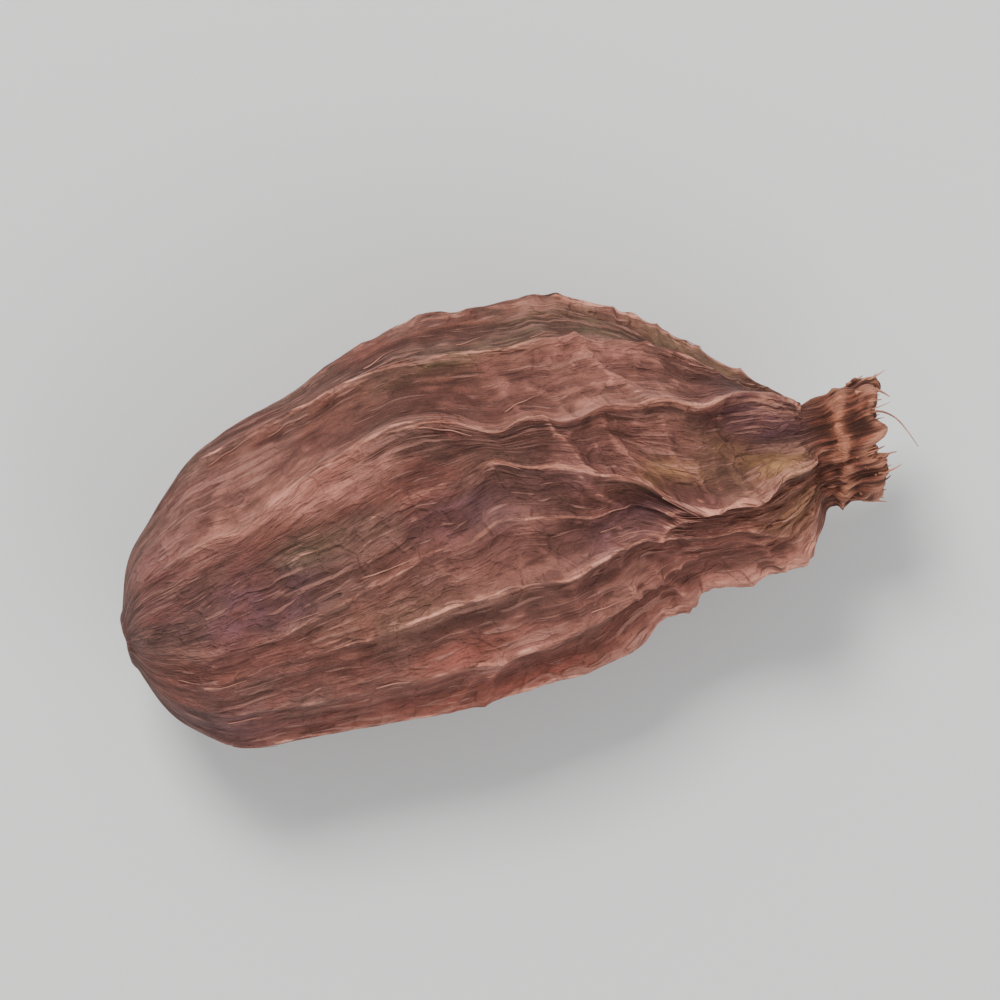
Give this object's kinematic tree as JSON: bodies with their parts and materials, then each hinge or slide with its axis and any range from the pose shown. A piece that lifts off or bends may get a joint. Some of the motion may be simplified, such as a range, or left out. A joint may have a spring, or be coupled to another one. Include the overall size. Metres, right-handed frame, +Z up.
{
  "type": "black cardamom pod",
  "caption": "Dried cardamom pod lying on its side: rounded base, ribbed wrinkled husk that narrows to a neck with a frayed hollow flower stub.",
  "frame": {"origin": "middle of the pod's footprint, on the surface that it rests on", "axes": "+X from the rounded base to the frayed stub, the pod's longest extent; +Z up, its shortest extent; +Y towards its fuller flank"},
  "size_m": [0.0304, 0.0148, 0.0126],
  "materials": {
    "husk": "matte"
  },
  "bodies": {
    "root": {"pod": "husk"}
  },
  "joints": []
}
